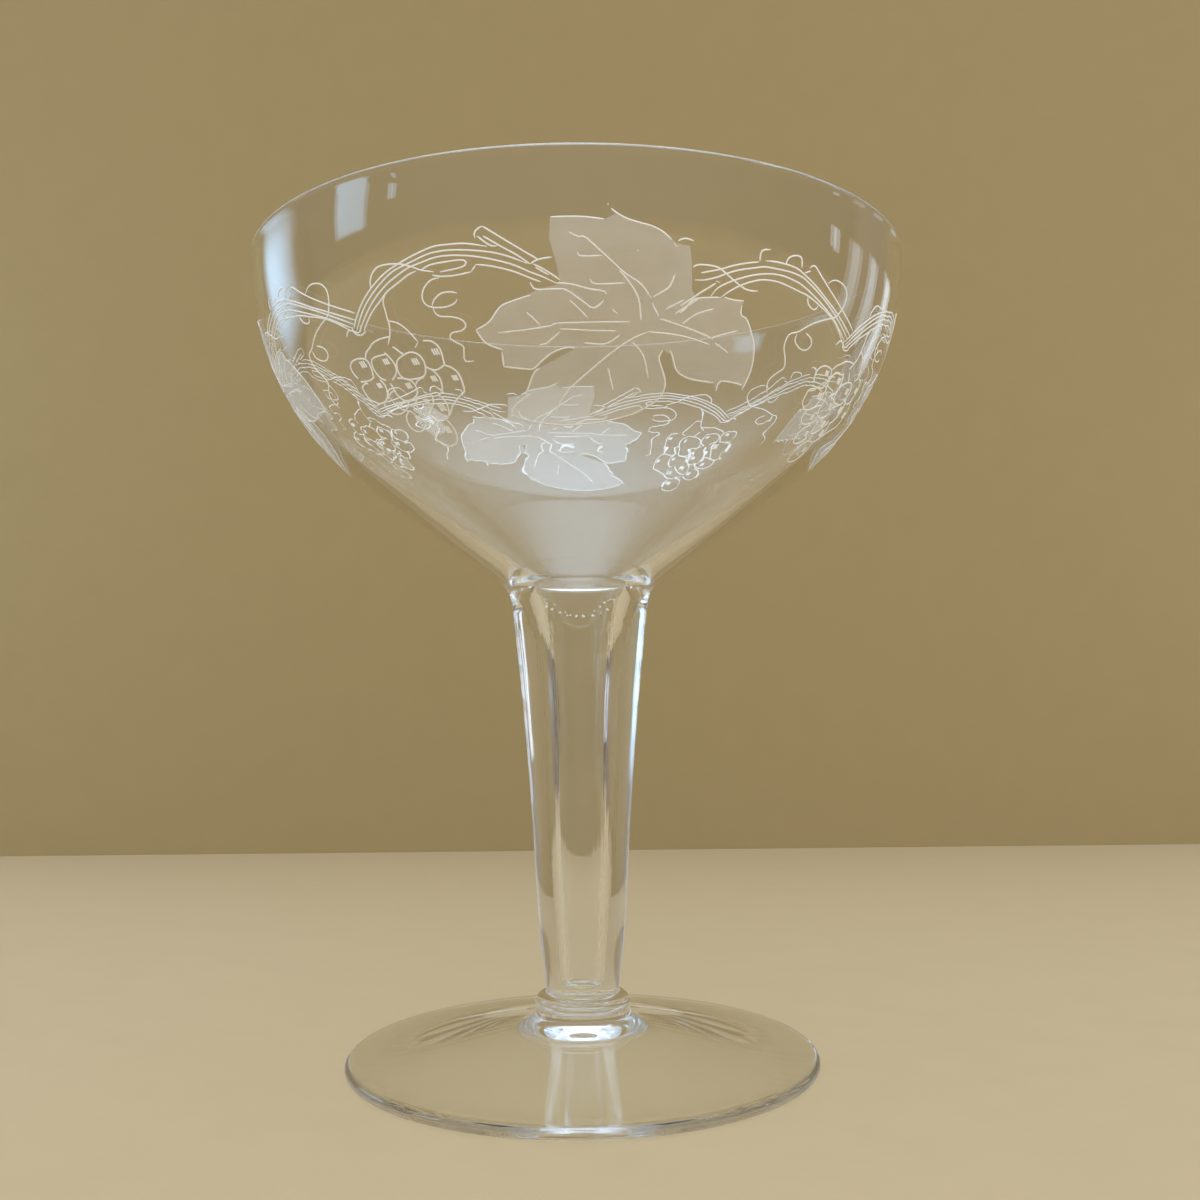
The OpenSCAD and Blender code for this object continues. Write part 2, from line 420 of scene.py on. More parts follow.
def turning_tree():
    graph, given = open_tree("turned_glass", {
        "Steps": int, "Wander": float, "Wander Scale": float, "Lap Depth": float,
        "Lap Height": float, "Lap Fall": float, "Lap Width": float, "Lower Weld": float,
        "Upper Weld": float, "Glass": "material", "Weld": "material"})
    section = given("Geometry")
    rows = graph.geo("AttributeDomainSize", {"Geometry": section}, component="MESH")()
    columns = given("Steps") + 1
    grid = graph.geo("MeshGrid", {"Vertices X": rows, "Vertices Y": columns})()
    index = graph.geo("InputIndex")()
    row = graph.maths("FLOOR", (index + 0.5) / columns)
    turn = (index - row * columns) * (math.tau / given("Steps"))
    position = graph.geo("InputPosition")()
    point = graph.geo("SampleIndex", {"Geometry": section, "Value": position, "Index": row},
                      data_type="FLOAT_VECTOR", domain="POINT")()
    radius, height = map(graph.parts(point), "XZ")
    across = radius * graph.maths("SINE", turn)
    along = radius * graph.maths("COSINE", turn)
    noise = graph.noise(graph.spot(across, along, height), given("Wander Scale"), detail=1.0)
    off_lap = graph.maths("ABSOLUTE", height + across * given("Lap Fall") - given("Lap Height"))
    off_weld = graph.maths("MINIMUM", (given("Upper Weld") - height) / given("Lap Width"), 1)
    beside = graph.maths("MAXIMUM", 1 - off_lap / given("Lap Width"), 0)
    shrink = 1 - noise * given("Wander") - beside * off_weld * given("Lap Depth")
    turned = graph.geo("SetPosition", {
        "Geometry": grid, "Position": graph.spot(across * shrink, along * shrink, height)})()
    whole = graph.geo("MergeByDistance", {"Geometry": turned, "Distance": SAME_PLACE})()
    smooth = graph.geo("SetShadeSmooth", {"Geometry": whole}, domain="FACE")()
    angle = graph.geo("InputMeshEdgeAngle")("Unsigned Angle")
    creased = graph.geo("SetShadeSmooth", {
        "Geometry": smooth, "Selection": angle > SHARP_EDGE, "Shade Smooth": False},
        domain="EDGE")()
    glassy = graph.geo("SetMaterial", {"Geometry": creased, "Material": given("Glass")})()
    level = graph.parts(position)("Z")
    facing = graph.parts(graph.geo("InputNormal")())("Z")
    at_weld = sum(graph.maths("COMPARE", level, given(end), WELD_REACH)
                  for end in ("Lower Weld", "Upper Weld"))
    fused = at_weld * (graph.maths("ABSOLUTE", facing) > LEVEL_FACE)
    welded = graph.geo("SetMaterial", {
        "Geometry": glassy, "Selection": fused, "Material": given("Weld")})()
    real = graph.geo("RealizeInstances", {"Geometry": welded})()
    graph.node("NodeGroupOutput", {0: real})
    return graph.tree


TURNING = turning_tree()
print("turning tree has", len(TURNING.nodes), "nodes")

# %% [markdown]
# Clear glass. Glass takes its colour from the room, so its material is almost nothing: a
# Principled shader that transmits, with the refraction of soda glass. Three faint things keep
# it from looking like a formula: a tint that changes a little, handling haze in the roughness,
# and long draw lines in the bump where the glass was pulled. Light on its way to the table
# passes a Transparent shader instead, because a real glass throws only a light shadow.

# %% Materials of the glass and its welds
GLASS_IOR = 1.51
SHADOW_TINT = (0.965, 0.97, 0.965, 1)
TINT_CHANGE = 0.985
CLOUD_SCALE = 38.0
HAZE_START = 0.62
HAZE = 0.06
LINES_AROUND = 2.2
LINES_UP = 3.0
LINE_SCALE = 6.0
RIPPLE_SCALE = 70.0
RIPPLE = 0.25
GLASS_BUMP = {"Strength": 0.35, "Distance": 0.1 * MM}


def open_material(name):
    material = bpy.data.materials.new(name)
    material.use_nodes = True
    material.node_tree.nodes.clear()
    return material, Graph(material.node_tree)


def darker(colour, share):
    return tuple(channel * share for channel in colour[:3]) + (1,)


def clear_glass(name, tint, draw_lines):
    """Clear glass. draw_lines says how strongly the lengthwise lines show."""
    material, graph = open_material(name)
    place = graph.shade("TexCoord")("Object")
    cloud = graph.noise(place, CLOUD_SCALE, detail=3.0)
    x, y, z = map(graph.parts(place), "XYZ")
    stretched = graph.spot(graph.maths("ARCTAN2", x, y) * LINES_AROUND, z * LINES_UP, 0.0)
    lines = graph.noise(stretched, LINE_SCALE, detail=2.0)
    ripples = graph.noise(place, RIPPLE_SCALE, detail=1.0)
    glass = graph.shade("BsdfPrincipled", {
        "Base Color": graph.mix(cloud, tint, darker(tint, TINT_CHANGE)),
        "Roughness": graph.maths("MAXIMUM", cloud - HAZE_START, 0) * HAZE,
        "IOR": GLASS_IOR, "Transmission Weight": 1.0,
        "Normal": graph.shade("Bump", {
            "Height": lines * draw_lines + ripples * RIPPLE, **GLASS_BUMP})()})()
    path = graph.shade("LightPath")
    lighting = graph.maths("MAXIMUM", path("Is Shadow Ray"), path("Is Diffuse Ray"))
    through = graph.shade("BsdfTransparent", {"Color": SHADOW_TINT})()
    surface = graph.shade("MixShader", {0: lighting, 1: glass, 2: through})()
    graph.shade("OutputMaterial", {"Surface": surface})
    return material


def fused_weld():
    material, graph = open_material("fused_weld")
    graph.shade("OutputMaterial", {"Surface": graph.shade("BsdfTransparent")()})
    return material


BOWL_GLASS = clear_glass("blown_glass", (0.985, 0.988, 0.984, 1), draw_lines=0.25)
STEM_GLASS = clear_glass("drawn_glass", (0.98, 0.985, 0.98, 1), draw_lines=1.2)
KNOP_GLASS = clear_glass("knop_glass", (0.98, 0.985, 0.98, 1), draw_lines=0.3)
FOOT_GLASS = clear_glass("spun_glass", (0.98, 0.985, 0.98, 1), draw_lines=0.2)
WELD = fused_weld()
print("glass materials made")

# %% [markdown]
# Turn the four pieces. Each one is run through the same tree with its own section, its glass,
# the heights of its welds and the depth of its lap mark, as a share of the radius.

# %% Turn the bowl, the stem, the knop and the foot
PIECES = {
    "bowl": (bowl_section, BOWL_GLASS, (WELD_Z, WELD_Z), 0.0),
    "stem": (stem_section, STEM_GLASS, (KNOP_TOP_Z, WELD_Z), 0.0),
    "knop": (knop_section, KNOP_GLASS, (KNOP_BASE_Z, KNOP_TOP_Z), LAP_DEPTH),
    "foot": (foot_section, FOOT_GLASS, (KNOP_BASE_Z, KNOP_BASE_Z), 0.0),
}


def turn_piece(node, section, glass, welds, lap_depth):
    """Turns one piece of glass and lets it stand for its solid."""
    chain = [(radius * MM, 0, height * MM) for radius, height in section()]
    piece = run_tree(TURNING, node + "_piece", chain_mesh(node, [chain]), {
        "Steps": TURN_STEPS, "Wander": WANDER, "Wander Scale": WANDER_SCALE,
        "Lap Depth": lap_depth, "Lap Height": LAP_Z * MM, "Lap Fall": LAP_FALL,
        "Lap Width": LAP_WIDTH * MM, "Lower Weld": welds[0] * MM, "Upper Weld": welds[1] * MM,
        "Glass": glass, "Weld": WELD})
    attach(piece, "root")
    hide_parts(node)
    return piece


turned = {node: turn_piece(node, *how) for node, how in PIECES.items()}

# %% Check that the shells are closed and look outwards
for node, piece in turned.items():
    shell = bmesh.new()
    shell.from_mesh(piece.data)
    open_edges = sum(not edge.is_manifold for edge in shell.edges)
    volume = round(shell.calc_volume(signed=True) / MM ** 3, 1)
    print(node, "volume", volume, "mm3, open edges", open_edges)
    shell.free()

# %% [markdown]
# The camera. It stands where the photographer's lens stood: level with the upper stem and
# looking a little up, so that the rim is seen from below. The same numbers later carry the
# drawing of the vine from the photograph onto the bowl.

# %% Place the camera
PHOTO_PX = 1200
FOCAL_PX = 1275.7
SENSOR = 36
CAMERA_SPOT = Vector((0, -202.1, 57.44)) * MM
PITCH = math.radians(3.947)
YAW = math.radians(0.904)
ROLL = math.radians(-0.47)
NEAREST = 0.01

look = Vector((math.sin(YAW) * math.cos(PITCH), math.cos(YAW) * math.cos(PITCH), math.sin(PITCH)))
CAMERA_TURN = look.to_track_quat("-Z", "Y") @ Quaternion((0, 0, 1), ROLL)
camera = bpy.data.objects.new("camera", bpy.data.cameras.new("camera"))
camera.location = CAMERA_SPOT
camera.rotation_mode = "QUATERNION"
camera.rotation_quaternion = CAMERA_TURN
camera.data.sensor_width = SENSOR
camera.data.lens = FOCAL_PX / PHOTO_PX * SENSOR
camera.data.clip_start = NEAREST
bpy.context.scene.collection.objects.link(camera)
bpy.context.scene.camera = camera
print("lens", round(camera.data.lens, 2), "mm")

# %% [markdown]
# The engraved vine. A wheel cuts the same spray four times round the bowl: a double cane that
# arches from joint to joint, a broad leaf over its middle, a bunch of grapes and two tendrils.
# The cut glass is matt and white. The spray is a drawing, so it is kept as points read off the
# photograph, each list one run of the wheel. A line of sight from the camera through each point
# meets the bowl in one place, and there the cut goes.

# %% The canes, read off the photograph
CANES = [
    [(354, 328), (357, 316), (363, 301), (372, 287), (385, 273), (398, 264), (412, 256), (432, 247),
     (448, 244.5), (462, 243.5), (474, 244.5), (487, 246.5)],
    [(357, 330), (362, 313), (369, 299), (380, 284), (392, 272), (403, 266), (414, 260.5), (428, 254),
     (445, 250.5), (462, 250), (480, 251), (495, 253), (510, 257), (527, 263.5)],
    [(360, 331), (366, 315), (374, 300), (386, 285), (398, 275), (408, 268), (420, 263), (435, 257.5),
     (450, 255.5), (470, 256), (490, 259), (512, 264.5), (530, 272), (543, 277), (556, 283)],
    [(364, 331), (371, 314), (381, 300), (387, 292), (398, 283), (408, 275), (416, 271)],
    [(371, 289), (370, 281), (373, 272), (380, 266), (397, 264), (412, 267), (420, 270), (434, 272)],
    [(421, 270), (430, 265), (445, 262), (460, 260), (466, 261.5), (464, 266), (455, 269), (440, 272)],
    [(432, 275), (440, 276.5), (455, 275.5), (471, 272)],
    [(471, 272), (476, 264.5)],
    [(476, 264.5), (490, 266), (500, 268), (515, 272), (530, 278), (541, 282)],
    [(530, 282), (532, 286), (537, 289.5), (560, 289), (568, 291), (585, 303), (592, 308), (598, 306),
     (604, 300)],
    [(556, 283), (570, 284), (590, 289), (603, 291), (607, 294)],
    [(352, 327), (354, 333), (361, 335.5), (366, 331)],
    [(693, 267), (697, 265), (707, 265), (717, 267), (722, 270), (730, 277), (738, 284), (745, 289),
     (752, 291), (758, 291)],
    [(701, 273), (712, 271), (722, 269), (732, 266), (745, 263.5), (759, 262)],
    [(760, 261), (760.5, 255), (762, 251), (766, 249.5), (771, 250)],
    [(766, 261), (773, 261.5), (785, 264), (797, 268.5), (806, 276), (816, 286), (827, 300),
     (836, 312), (844, 325), (850, 337)],
    [(695, 280), (705, 280), (718, 277), (727, 273.5), (740, 270), (755, 268), (765, 267), (777, 269),
     (790, 272), (802, 277), (810, 284), (822, 297), (831, 309), (839, 322), (847, 339)],
    [(711, 296), (718, 288), (730, 282), (742, 278), (755, 275), (770, 274), (783, 276), (795, 281),
     (803, 286), (815, 297), (825, 308), (834, 320), (844, 341)],
    [(720, 298), (730, 291), (742, 285), (755, 281), (765, 280), (778, 282), (790, 287), (800, 292),
     (808, 296), (820, 306), (830, 316), (836, 325), (842, 342)],
    [(786, 265), (788, 259), (793, 256), (799, 256), (802, 259), (802, 268)],
    [(808, 297), (808, 303), (811, 308), (815, 310), (818, 306)],
    [(810, 268), (815, 266), (822, 277), (830, 290), (838, 303), (845, 315), (853, 331)],
    [(805, 273), (811, 271)],
    [(680, 306), (690, 300), (700, 293), (710, 287), (716, 283)],
    [(716, 281), (720, 282.5)],
    [(836, 345), (841, 341), (845, 348), (850, 343)],
    [(482, 226), (500, 237), (520, 249), (538, 259.5)],
    [(483, 236), (500, 246), (515, 254), (530, 264)],
    [(475, 238), (474, 233), (477, 229), (482, 226)],
    [(477, 236), (486, 243), (492, 246), (497, 246)],
    [(530, 264), (538, 259.5), (552, 257)],
    [(533, 264), (545, 270), (560, 280)],
    [(535, 267), (540, 270), (549, 275)],
]
print(len(CANES), "runs for the canes")

# %% The leaf, read off the photograph
LEAF_EDGES = [
    [(550, 217), (580, 216.5), (604, 219)],
    [(608, 203), (608, 205)],
    [(611, 208), (617, 213), (626, 218), (638, 222), (652, 226), (662, 231), (668, 236), (672, 240)],
    [(674, 243), (677, 247)],
    [(678, 241), (682, 239), (687, 238.5), (694, 241)],
    [(531, 295), (523, 297.5), (510, 302), (500, 307), (489, 322), (476, 330)],
    [(476, 330), (482, 339), (489, 345), (503, 350)],
    [(502, 352), (504, 367)],
    [(504, 367), (525, 369), (533, 369), (540, 363), (552, 353), (567, 347.5), (575, 348.5)],
    [(540, 368), (534, 373), (528, 389), (525, 394)],
    [(531, 394), (523, 399), (514, 408), (511, 415)],
    [(511, 415), (530, 421), (560, 425), (595, 423), (630, 415), (650, 405), (660, 398)],
    [(660, 398), (664, 390), (665, 380), (660, 363), (659, 357), (663, 350)],
    [(680, 313), (686, 308), (690, 303), (697, 298.5), (715, 297.5), (720, 297.5)],
    [(724, 297), (733, 300), (744, 301)],
    [(742, 305), (741, 315), (747, 320), (753, 340), (754, 350), (751, 370), (742, 390)],
    [(742, 385), (721, 381.5), (716, 391)],
    [(713, 383), (690, 379), (677, 371), (672, 355), (670, 350)],
]
LEAF_VEINS = [
    [(569, 232), (578, 236.5), (585, 237), (600, 250), (612, 261), (625, 273), (641, 284), (651, 298)],
    [(652, 303), (659, 317)],
    [(653, 297), (662, 292), (670, 286), (675, 274)],
    [(619, 270), (627, 279), (638, 297), (641, 320)],
    [(577, 252), (581, 256), (602, 255.5)],
    [(590, 279), (596, 284), (625, 283)],
    [(637.5, 250), (638.5, 251)],
    [(693, 267), (700, 264)],
    [(569, 300), (575, 305), (588, 318)],
    [(498, 333), (525, 330), (550, 326), (556, 323.5), (585, 322.5), (630, 322)],
    [(560, 329), (590, 330.5), (617, 331)],
    [(526, 312), (533, 318), (540, 325)],
    [(539, 345), (547, 343), (560, 332)],
    [(584, 343), (605, 344), (620, 335)],
    [(648, 332), (630, 340), (610, 354), (592, 369), (570, 389), (556, 410)],
    [(632, 342), (643, 355), (648, 378)],
    [(608, 368), (613, 390)],
    [(660, 319), (673, 323), (695, 331), (713, 339)],
    [(715, 343), (728, 353)],
    [(682, 324), (697, 314), (714, 309)],
    [(711, 338), (725, 334), (738, 331)],
    [(648, 332), (670, 334), (690, 338), (710, 345)],
    [(666, 309), (684, 300)],
    [(675, 314), (692, 303), (700, 298)],
    [(612, 309), (618, 314)],
]
LEAF_FACE = [
    (550, 217), (580, 216.5), (604, 219), (617, 213), (638, 222), (662, 231), (677, 243), (690, 246),
    (692, 262), (692, 290), (697, 298.5), (715, 297.5), (744, 301), (742, 305), (741, 315), (747, 320),
    (753, 340), (754, 350), (751, 370), (742, 388), (735, 384), (721, 381.5), (716, 391), (713, 383),
    (690, 379), (677, 371), (672, 355), (663, 350), (659, 357), (660, 363), (665, 380), (664, 390),
    (660, 398), (650, 405), (630, 415), (595, 423), (560, 425), (530, 421), (511, 415), (514, 408),
    (523, 399), (528, 389), (534, 373), (541, 367), (556, 359), (575, 349), (567, 347), (552, 353),
    (537, 366), (525, 369), (504, 367), (502, 350), (489, 345), (482, 339), (476, 330), (489, 322),
    (500, 307), (510, 302), (523, 297.5), (536, 290), (560, 284), (556, 262), (549, 238),
]
print(len(LEAF_EDGES) + len(LEAF_VEINS), "runs for the leaf")

# %% The tendrils, the stalk and the grapes, read off the photograph
TENDRILS = [
    [(439, 278), (431, 280), (424, 288), (422, 297), (425, 304), (433, 307.5), (446, 307), (455, 303),
     (457, 299)],
    [(432, 306), (434, 300), (440, 294), (448, 292), (457, 293)],
    [(433, 308), (435, 313), (440, 316.5), (452, 317), (462, 320), (466, 326), (461, 331), (452, 333),
     (450, 338), (455, 342), (463, 346), (464, 352), (465, 361), (474, 361)],
    [(828, 284), (832, 281), (838, 281), (845, 287), (847, 296), (844, 306), (838, 315), (834, 318),
     (825, 320), (815, 323), (805, 328), (798, 332), (790, 334), (786, 340), (784, 348), (785, 358),
     (784, 368), (777, 373), (769, 380), (767, 387), (767, 393)],
    [(797, 334), (795, 341), (799, 348), (805, 350.5), (811, 346), (811, 339), (806, 333)],
]
STALK = [
    [(386, 292), (384, 297), (383, 303), (385, 310), (387, 318), (389, 324), (390, 334), (388, 345)],
    [(387, 321), (397, 323), (407, 330), (418, 342)],
    [(418, 342), (415, 348)],
]
GRAPE_EDGES = [
    [(358, 378.5), (354, 374.5), (351, 369), (350.5, 365), (353, 361), (358, 359), (364, 359),
     (368, 362), (371, 368), (372.5, 373), (373.5, 378)],
    [(361, 382), (367, 381.5), (371, 380), (374, 377.5)],
    [(365.5, 358), (366, 353), (370, 347.5), (372.5, 343.5), (378, 340), (384, 338), (389, 337)],
    [(386, 380.5), (381, 378.5), (377, 374.5), (373.5, 369), (371.5, 363), (372, 359.5), (376, 357),
     (385, 354.5)],
    [(384.5, 353), (388, 356), (392, 360.5), (395, 365), (396.5, 371), (395, 376), (392.5, 380)],
    [(392.5, 347), (396, 349), (400, 352.5), (403, 354)],
    [(397, 368), (396.5, 363.5), (398, 359.5), (403, 355.5), (408, 353), (413, 352.5), (418, 354.5),
     (422, 358.5), (424.5, 363), (425.5, 368), (425.5, 372.5), (424.5, 375.5), (420, 378), (413, 379.5),
     (406, 379.5), (401.5, 377), (398.5, 373), (397, 368)],
    [(423, 341), (430, 341), (435, 343.5), (439, 347.5), (441.5, 353), (443, 359), (444.5, 364.5)],
    [(426, 367), (431, 369.5), (437, 370), (441, 367.5), (444.5, 365)],
    [(445, 365.5), (450, 367), (455, 370), (459, 374.5), (461.5, 380), (463.5, 386), (464.5, 391),
     (463, 393.5)],
    [(431, 369.5), (435, 372.5), (439, 377), (441.5, 383), (442.5, 389), (441, 393.5), (437.5, 396)],
    [(424, 377), (418, 380.5), (416, 384)],
    [(390.5, 383.5), (393, 387.5), (396, 393.5), (399, 397), (404, 400.5), (410, 400.5), (414.5, 398),
     (417.5, 393), (416.5, 388), (413.5, 383), (409, 380), (403, 378.5), (397, 378.5)],
    [(368, 384), (366, 383.5), (363, 386), (362.5, 388.5), (365, 393), (368, 397.5), (371, 400.5),
     (376, 402.5), (379, 404), (384, 402.5), (386.5, 400), (387.5, 395), (386.5, 389), (384, 384),
     (380, 380)],
    [(384, 402.5), (385.5, 407), (389, 411.5), (395, 414.5), (402, 413.5), (407, 409), (408.5, 404),
     (407, 400.5)],
    [(388, 399), (391, 393), (394, 391)],
    [(417, 397), (416, 402), (417.5, 408), (421, 413.5), (426, 416), (430.5, 412), (433, 405),
     (433, 399), (431, 395)],
    [(441, 396.5), (445, 401), (448, 407), (449, 413), (447.5, 418), (443, 421), (436, 420.5),
     (430.5, 416)],
    [(463, 393), (460, 396), (456, 401), (452.5, 406), (451, 412), (449, 416)],
    [(447, 420.5), (452, 426), (456, 433), (457.5, 440), (454.5, 445), (448, 446.5), (441, 443.5),
     (436, 438), (433.5, 431), (434, 424), (437, 421.5)],
    [(409, 411), (406.5, 417), (408.5, 424.5), (413.5, 430), (420, 432), (425.5, 428), (427, 421)],
]
GRAPE_GLEAMS = [
    (361, 365), (384, 362), (413, 362), (433, 352), (453, 378), (432, 379), (407, 386), (378, 386),
    (398, 405), (425, 402), (440, 408), (446, 430), (417, 419),
]
print(len(GRAPE_EDGES), "runs and", len(GRAPE_GLEAMS), "gleams in a bunch of grapes")

# %% [markdown]
# From the photograph to the bowl. The outside of the bowl is known by its formula, so a line of
# sight is followed until it goes in. That gives an angle round the bowl and a height. Unrolled,
# these are the two directions of a flat sheet, on which the spray is repeated from joint to
# joint. The joint on each side of the front spray is seen in the photograph, and the three
# other sprays share what is left of the circle.

# %% Throw the drawing onto the bowl
LEFT_JOINT = (357, 332)
RIGHT_JOINT = (845, 345)
SPRAYS = 4
FULL_TURN = 360
SHEET_R = 45
SIGHT_STEP = 0.25
FINEST_STEP = SIGHT_STEP / 1000
SIGHT_START = 130
ARC_CENTRE_R = RIM_R - BOWL_ARC_R
SLOPE = math.radians(BOWL_SLOPE)
SLOPE_TOP_R = ARC_CENTRE_R + BOWL_ARC_R * math.sin(SLOPE)
SLOPE_TOP_Z = ARC_CENTRE_Z - BOWL_ARC_R * math.cos(SLOPE)


def outside_radius(height):
    """Radius of the outside of the bowl at a height, both in millimetres."""
    if height < SLOPE_TOP_Z:
        return SLOPE_TOP_R - (SLOPE_TOP_Z - height) / math.tan(SLOPE)
    rise = min(height - ARC_CENTRE_Z, 0)
    return ARC_CENTRE_R + math.sqrt(BOWL_ARC_R ** 2 - rise ** 2)


def on_bowl(pixel):
    """Degrees round the bowl and height where the sight through a photo pixel goes in."""
    middle = PHOTO_PX / 2
    sight = CAMERA_TURN @ Vector((pixel[0] - middle, middle - pixel[1], -FOCAL_PX)).normalized()
    start = CAMERA_SPOT / MM
    reach = SIGHT_START
    step = SIGHT_STEP
    while step > FINEST_STEP:
        spot = start + sight * (reach + step)
        if math.hypot(spot.x, spot.y) > outside_radius(spot.z):
            reach += step
        else:
            step /= 2
        if reach > 2 * start.length:
            raise ValueError(f"the sight through {pixel} misses the bowl")
    return math.degrees(math.atan2(spot.x, -spot.y)), spot.z


joint_angles = [on_bowl(joint)[0] for joint in (LEFT_JOINT, RIGHT_JOINT)]
front_width = joint_angles[1] - joint_angles[0]
other_width = (FULL_TURN - front_width) / (SPRAYS - 1)
spray_spans = [(joint_angles[0], front_width)]
spray_spans += [(joint_angles[1] + other_width * i, other_width) for i in range(SPRAYS - 1)]
print("sprays start and span, in degrees:", [(round(a, 1), round(w, 1)) for a, w in spray_spans])


def on_sheet(pixels, span):
    """A run of photo pixels as points on the flat sheet, in the place of one spray."""
    points = []
    for angle, height in map(on_bowl, pixels):
        share = (angle - joint_angles[0]) / front_width
        turn = math.radians(span[0] + share * span[1])
        points.append((turn * SHEET_R * MM, height * MM, 0))
    return points


# %% [markdown]
# Laying the sheet on the bowl is a rule, so geometry nodes do it: across the sheet becomes the
# angle, up the sheet becomes the height, and the formula of the outside gives the radius and
# the direction that points out of the glass.

# %% Nodes that wrap a flat drawing round the bowl
BOWL_VALUES = {"Sheet Radius": SHEET_R * MM, "Arc Radius": BOWL_ARC_R * MM,
               "Arc Centre Radius": ARC_CENTRE_R * MM, "Arc Centre Height": ARC_CENTRE_Z * MM,
               "Slope": SLOPE}
BOWL_INPUTS = dict.fromkeys(BOWL_VALUES, float)


def bowl_surface(graph, given, height):
    """Radius of the bowl at a height, and the outward direction's parts across and up."""
    sine = graph.maths("SINE", given("Slope"))
    cosine = graph.maths("COSINE", given("Slope"))
    rise = height - given("Arc Centre Height")
    run = graph.maths("SQRT", graph.maths("MAXIMUM", given("Arc Radius") ** 2 - rise * rise, 0))
    below = rise + given("Arc Radius") * cosine
    straight = given("Arc Radius") * sine + below * cosine / sine
    arched = below > 0
    radius = given("Arc Centre Radius") + arched * run + (1 - arched) * straight
    out = arched * run / given("Arc Radius") + (1 - arched) * sine
    up = arched * rise / given("Arc Radius") - (1 - arched) * cosine
    return radius, out, up


def wrap(graph, given, flat, lift=0.0):
    """Lays flat geometry on the bowl, lifted off it by a height."""
    parts = graph.parts(graph.geo("InputPosition")())
    turn, height = parts("X") / given("Sheet Radius"), parts("Y")
    radius, out, up = bowl_surface(graph, given, height)
    reach = radius + out * lift
    place = graph.spot(graph.maths("SINE", turn) * reach,
                       graph.maths("COSINE", turn) * reach * -1, height + up * lift)
    return graph.geo("SetPosition", {"Geometry": flat, "Position": place})()


def outward(graph, given):
    """The direction out of the glass at a point that lies on the bowl."""
    parts = graph.parts(graph.geo("InputPosition")())
    turn = graph.maths("ARCTAN2", parts("X"), parts("Y") * -1)
    out, up = bowl_surface(graph, given, parts("Z"))[1:]
    return graph.spot(graph.maths("SINE", turn) * out, graph.maths("COSINE", turn) * out * -1, up)


# %% [markdown]
# A cut line. The wheel leaves a shallow groove with a matt floor. A groove this fine, a quarter
# of a millimetre wide, is made as a thin lens that lies almost all in the glass, with a trace of
# it above the surface so that the gloss of the glass doesn't cover it. Its width comes with
# each run, and it thins out at both ends as the wheel is lifted. In the grapes, each skin is an
# outline of its own, and three short strokes side by side are its gleam.

# %% The tree for cut lines
LINE_STEP = 0.4 * MM
LENS_SIDES = 6
LENS_FLATNESS = 0.16
LENS_SINK = 0.06
TAPER = 9.0
TAPER_END = 0.45


def fine_curves(graph, given):
    """The runs of a flat drawing as smooth curves, with points close enough to bend."""
    runs = graph.geo("MeshToCurve", {"Mesh": given("Geometry")})()
    bent = graph.geo("CurveSplineType", {"Curve": runs}, spline_type="CATMULL_ROM")()
    return graph.geo("ResampleCurve", {"Curve": bent, "Length": given("Step")}, mode="LENGTH")()


def point_mark(graph, name):
    """The number that each point of the sheet brings along under a name."""
    return graph.geo("InputNamedAttribute", {"Name": name}, data_type="FLOAT")()


def cut(graph, given, curve, width):
    """Sweeps the thin lens along curves that lie on the bowl. The ring that it is squeezed from
    is 1 wide, so that its scale is the width of the cut."""
    steered = graph.geo("SetCurveNormal", {"Curve": curve, "Normal": outward(graph, given)},
                        mode="FREE")()
    ring = graph.geo("CurvePrimitiveCircle", {"Resolution": LENS_SIDES, "Radius": 0.5})()
    lens = graph.geo("Transform", {
        "Geometry": ring, "Translation": (-LENS_SINK, 0, 0), "Scale": (2 * LENS_FLATNESS, 1, 1)})()
    swept = graph.geo("CurveToMesh", {
        "Curve": steered, "Profile Curve": lens, "Scale": width, "Fill Caps": True})()
    return graph.geo("SetShadeSmooth", {"Geometry": swept}, domain="FACE")()


def cut_line_tree():
    graph, given = open_tree("cut_lines", {**BOWL_INPUTS, "Step": float, "Cut": "material"})
    laid = wrap(graph, given, fine_curves(graph, given))
    share = graph.geo("SplineParameter")("Factor")
    from_end = graph.maths("MINIMUM", share, 1 - share)
    taper = graph.maths("MINIMUM", from_end * TAPER + TAPER_END, 1)
    width = point_mark(graph, "width")
    return close_tree(graph, cut(graph, given, laid, width * taper), given("Cut"))


# %% The tree for grapes
STROKE = {"Resolution": 3, "Start": (-0.1, 0.5, 0), "Middle": (-0.05, 0.0, 0),
          "End": (0.2, -0.5, 0)}
GLEAM_SIZES = (0.75, 1.1)


def grape_tree():
    graph, given = open_tree("grapes", {
        **BOWL_INPUTS, "Step": float, "Line Width": float, "Stroke Length": float,
        "Stroke Gap": float, "Strokes": int, "Seed": int, "Cut": "material"})
    stroke = graph.geo("CurveQuadraticBezier", STROKE)()
    places = graph.geo("MeshLine", {
        "Count": given("Strokes"), "Offset": graph.spot(given("Stroke Gap"), 0.0, 0.0)})()
    comb = graph.geo("InstanceOnPoints", {
        "Points": places, "Instance": stroke, "Scale": given("Stroke Length")})()
    swell = graph.random(*GLEAM_SIZES, given("Seed"))
    gleams = graph.geo("InstanceOnPoints", {
        "Points": given("Geometry"), "Selection": point_mark(graph, "gleam"), "Instance": comb,
        "Scale": swell})()
    real = graph.geo("RealizeInstances", {"Geometry": gleams})()
    drawn = graph.geo("JoinGeometry", {0: [fine_curves(graph, given), real]})()
    laid = wrap(graph, given, drawn)
    return close_tree(graph, cut(graph, given, laid, given("Line Width")), given("Cut"))


